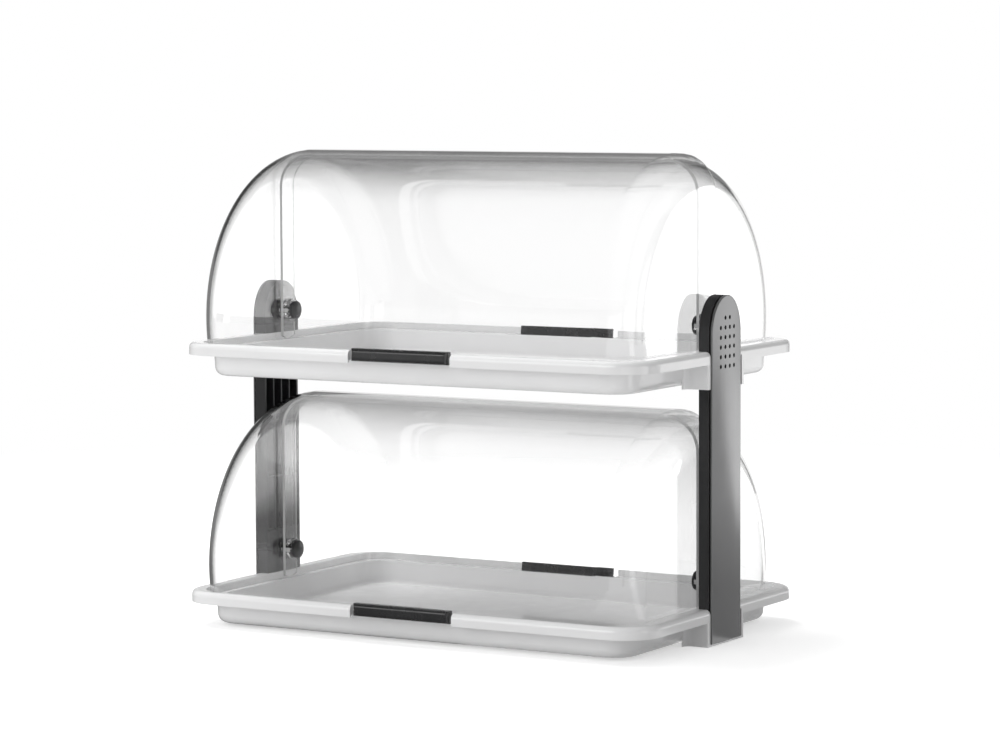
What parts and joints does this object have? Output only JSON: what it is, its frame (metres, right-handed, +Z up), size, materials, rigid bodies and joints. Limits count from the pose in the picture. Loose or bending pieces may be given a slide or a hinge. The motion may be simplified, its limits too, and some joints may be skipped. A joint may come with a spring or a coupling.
{
  "type": "countertop bread display bin",
  "caption": "Two-tier countertop bread display with white trays on side posts and nested clear roll-top covers that open from the front and the rear.",
  "frame": {"origin": "middle of the footprint, on the surface that the bin stands on", "axes": "+X along the length to the right, -Y towards the front cover, +Z up"},
  "size_m": [0.4948, 0.3199, 0.4396],
  "materials": {
    "tray_white": "glossy white moulded plastic",
    "clear_cover": "clear moulded plastic",
    "post_dark": "dark satin plastic",
    "post_grey": "mid grey satin plastic",
    "grip_black": "black satin plastic",
    "pivot_black": "black satin plastic",
    "screw_steel": "plain steel",
    "foot_rubber": "soft black rubber"
  },
  "bodies": {
    "stand": {"lower_tray": "tray_white", "lower_dock_screws": "screw_steel", "lower_left_pivot_pin": "pivot_black", "lower_left_pivot_knob": "pivot_black", "lower_left_pivot_spacer": "pivot_black", "lower_right_pivot_pin": "pivot_black", "lower_right_pivot_knob": "pivot_black", "lower_right_pivot_spacer": "pivot_black", "upper_tray": "tray_white", "upper_dock_screws": "screw_steel", "upper_left_pivot_pin": "pivot_black", "upper_left_pivot_knob": "pivot_black", "upper_left_pivot_spacer": "pivot_black", "upper_right_pivot_pin": "pivot_black", "upper_right_pivot_knob": "pivot_black", "upper_right_pivot_spacer": "pivot_black", "left_post_body": "post_dark", "left_post_cover": "post_grey", "right_post_body": "post_dark", "right_post_cover": "post_grey", "rubber_feet": "foot_rubber"},
    "lower_front_lid": {"lower_front_cover": "clear_cover", "lower_front_grip": "grip_black"},
    "lower_rear_lid": {"lower_rear_cover": "clear_cover", "lower_rear_grip": "grip_black"},
    "upper_front_lid": {"upper_front_cover": "clear_cover", "upper_front_grip": "grip_black"},
    "upper_rear_lid": {"upper_rear_cover": "clear_cover", "upper_rear_grip": "grip_black"}
  },
  "joints": [
    {"name": "lower_front_roll", "type": "hinge", "parent": "stand", "child": "lower_front_lid", "pos_m": [0, 0, 0.0547], "axis": [-1, 0, 0], "range_deg": [0, 90]},
    {"name": "lower_rear_roll", "type": "hinge", "parent": "stand", "child": "lower_rear_lid", "pos_m": [0, 0, 0.0547], "axis": [-1, 0, 0], "range_deg": [-90, 0]},
    {"name": "upper_front_roll", "type": "hinge", "parent": "stand", "child": "upper_front_lid", "pos_m": [0, 0, 0.28567], "axis": [-1, 0, 0], "range_deg": [0, 90]},
    {"name": "upper_rear_roll", "type": "hinge", "parent": "stand", "child": "upper_rear_lid", "pos_m": [0, 0, 0.28567], "axis": [-1, 0, 0], "range_deg": [-90, 0]}
  ]
}
